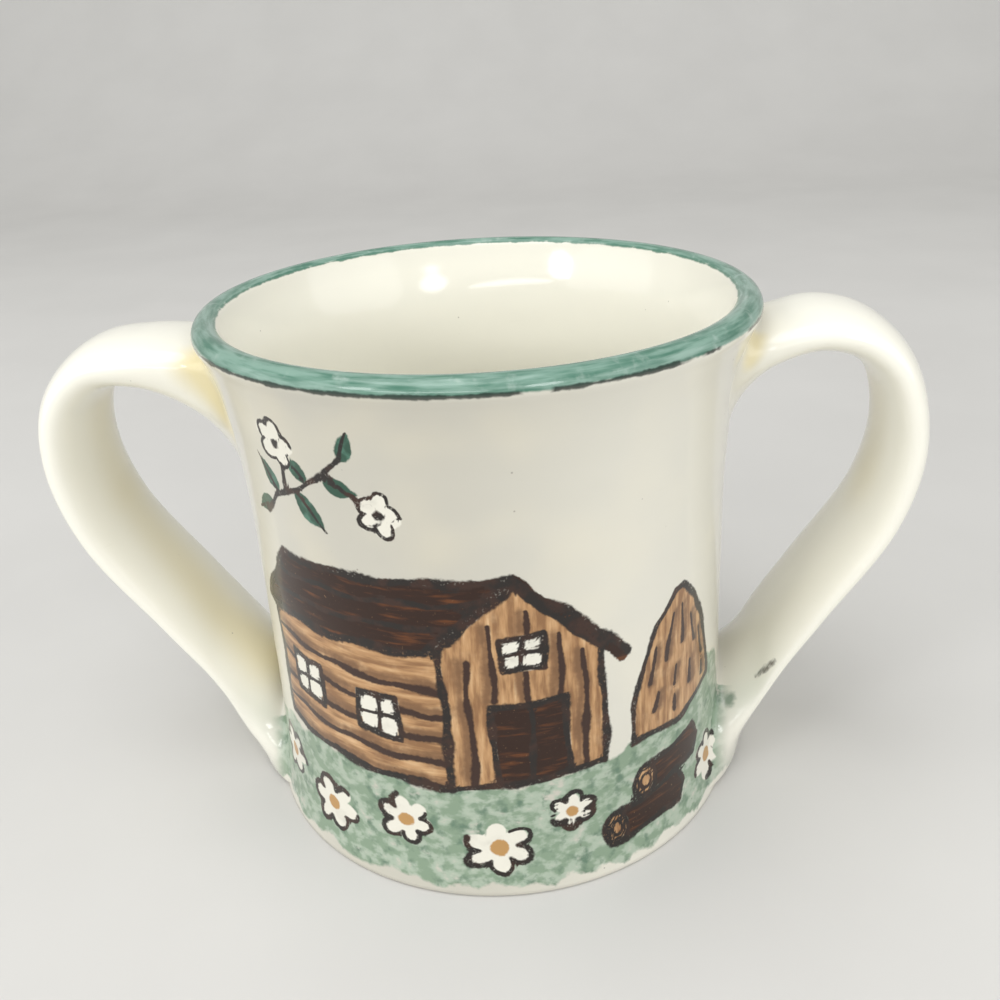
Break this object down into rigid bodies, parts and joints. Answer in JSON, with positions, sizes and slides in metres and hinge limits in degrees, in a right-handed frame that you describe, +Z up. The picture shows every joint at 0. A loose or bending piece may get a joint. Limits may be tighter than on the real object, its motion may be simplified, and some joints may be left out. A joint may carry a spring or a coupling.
{
  "type": "two-handled cup",
  "caption": "Wide thrown ceramic cup with a flared rounded lip, a flat foot and strap handles looping out from under the lip to the foot on either side.",
  "frame": {"origin": "centre of the flat foot, on the surface that the cup stands on", "axes": "+Z up through the mouth, +X out through the handle that is on the right when the painted front is seen, -Y towards the painted front"},
  "size_m": [0.1476, 0.089, 0.088],
  "materials": {
    "painted_body_glaze": "glossy transparent glaze over cream slip, with underglaze painting, a mottled green band over the lip and a bare clay foot",
    "cream_handle_glaze": "glossy cream glaze, thicker and yellower where it pools at the joints"
  },
  "bodies": {
    "root": {"cup_body": "painted_body_glaze", "left_handle": "cream_handle_glaze", "right_handle": "cream_handle_glaze"}
  },
  "joints": []
}
